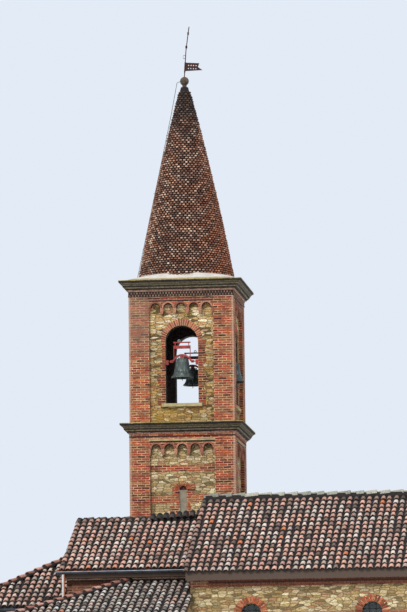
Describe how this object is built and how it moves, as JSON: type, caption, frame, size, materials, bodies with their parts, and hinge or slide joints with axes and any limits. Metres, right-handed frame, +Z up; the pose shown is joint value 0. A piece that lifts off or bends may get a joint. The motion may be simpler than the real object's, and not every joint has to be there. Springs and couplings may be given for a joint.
{
  "type": "church with bell tower",
  "caption": "Brick country church with a square bell tower, round conical spire, swinging bells, wind vane, tiled nave, presbytery, choir and side chapel.",
  "frame": {"origin": "on the ground under the centre of the bell tower", "axes": "+Z up, +X towards the main front of the nave, -Y towards the side chapel"},
  "size_m": [18.05, 15.0334, 23.3236],
  "materials": {
    "brickwork": "weathered red brick in lime mortar",
    "rubble": "ochre sandstone rubble with brick courses",
    "moulded_brick": "dark weathered moulded brick with lichen",
    "spire_brick": "rough projecting brick headers",
    "mortar": "pale lime mortar",
    "sill_stone": "weathered sandstone",
    "paving": "worn flagstone",
    "roof_tiles": "weathered terracotta coppi",
    "bronze": "grey-green patinated bell bronze",
    "red_iron": "red painted iron",
    "dark_iron": "blackened iron",
    "rusty_iron": "rusty wrought iron",
    "zinc": "weathered zinc sheet",
    "pale_pipe": "faded paint",
    "oak": "weathered planks",
    "window_pane": "plain glass"
  },
  "bodies": {
    "masonry": {"tower_floor": "paving", "tower_base": "brickwork", "shaft_piers": "brickwork", "shaft_panels": "rubble", "shaft_arcade": "brickwork", "mid_cornice": "moulded_brick", "belfry_floor": "paving", "belfry_piers": "brickwork", "belfry_wall_front": "rubble", "belfry_wall_right": "rubble", "belfry_wall_back": "rubble", "belfry_wall_left": "rubble", "belfry_arcade": "brickwork", "belfry_archivolts": "brickwork", "belfry_sills": "sill_stone", "top_cornice": "moulded_brick", "spire": "spire_brick", "apron": "mortar", "ball": "rusty_iron", "spindle": "rusty_iron", "conductor": "dark_iron", "bell_bearings": "red_iron", "nave_wall_near": "rubble", "nave_wall_far": "rubble", "facade": "rubble", "nave_end_wall": "rubble", "door": "oak", "nave_floor": "paving", "nave_roof_near": "roof_tiles", "nave_roof_far": "roof_tiles", "presbytery_walls": "rubble", "presbytery_gable": "rubble", "presbytery_roof_near": "roof_tiles", "presbytery_roof_far": "roof_tiles", "choir_walls": "rubble", "choir_roof": "roof_tiles", "chancel_floor": "paving", "chapel_walls": "rubble", "chapel_roof": "roof_tiles", "chapel_floor": "paving", "eaves_cornices": "brickwork", "ridge_tiles": "roof_tiles", "gutters": "zinc", "downpipe": "pale_pipe", "window_glass": "window_pane"},
    "vane": {"vane": "rusty_iron"},
    "swing_front": {"bell_front": "bronze", "headstock_front": "red_iron"},
    "tongue_front": {"clapper_front": "dark_iron"},
    "swing_right": {"bell_right": "bronze", "headstock_right": "red_iron"},
    "tongue_right": {"clapper_right": "dark_iron"},
    "swing_back": {"bell_back": "bronze", "headstock_back": "red_iron"},
    "tongue_back": {"clapper_back": "dark_iron"}
  },
  "joints": [
    {"name": "bell_swing_front", "type": "hinge", "parent": "masonry", "child": "swing_front", "pos_m": [0, -1.46, 12.331], "axis": [1, 0, 0], "range_deg": [-85, 85]},
    {"name": "clapper_front_swing", "type": "hinge", "parent": "swing_front", "child": "tongue_front", "pos_m": [0, -1.46, 12.3083], "axis": [1, 0, 0], "range_deg": [-18, 18]},
    {"name": "bell_swing_right", "type": "hinge", "parent": "masonry", "child": "swing_right", "pos_m": [1.46, 0, 12.331], "axis": [0, 1, 0], "range_deg": [-85, 85]},
    {"name": "clapper_right_swing", "type": "hinge", "parent": "swing_right", "child": "tongue_right", "pos_m": [1.46, 0, 12.3083], "axis": [0, 1, 0], "range_deg": [-18, 18]},
    {"name": "bell_swing_back", "type": "hinge", "parent": "masonry", "child": "swing_back", "pos_m": [0, 1.46, 12.331], "axis": [-1, 0, 0], "range_deg": [-85, 85]},
    {"name": "clapper_back_swing", "type": "hinge", "parent": "swing_back", "child": "tongue_back", "pos_m": [0, 1.46, 12.31428], "axis": [-1, 0, 0], "range_deg": [-18, 18]},
    {"name": "vane_spin", "type": "hinge", "parent": "masonry", "child": "vane", "pos_m": [0.01325, 0, 21.87054], "axis": [0.0698, 0, 0.9976], "continuous": true}
  ]
}
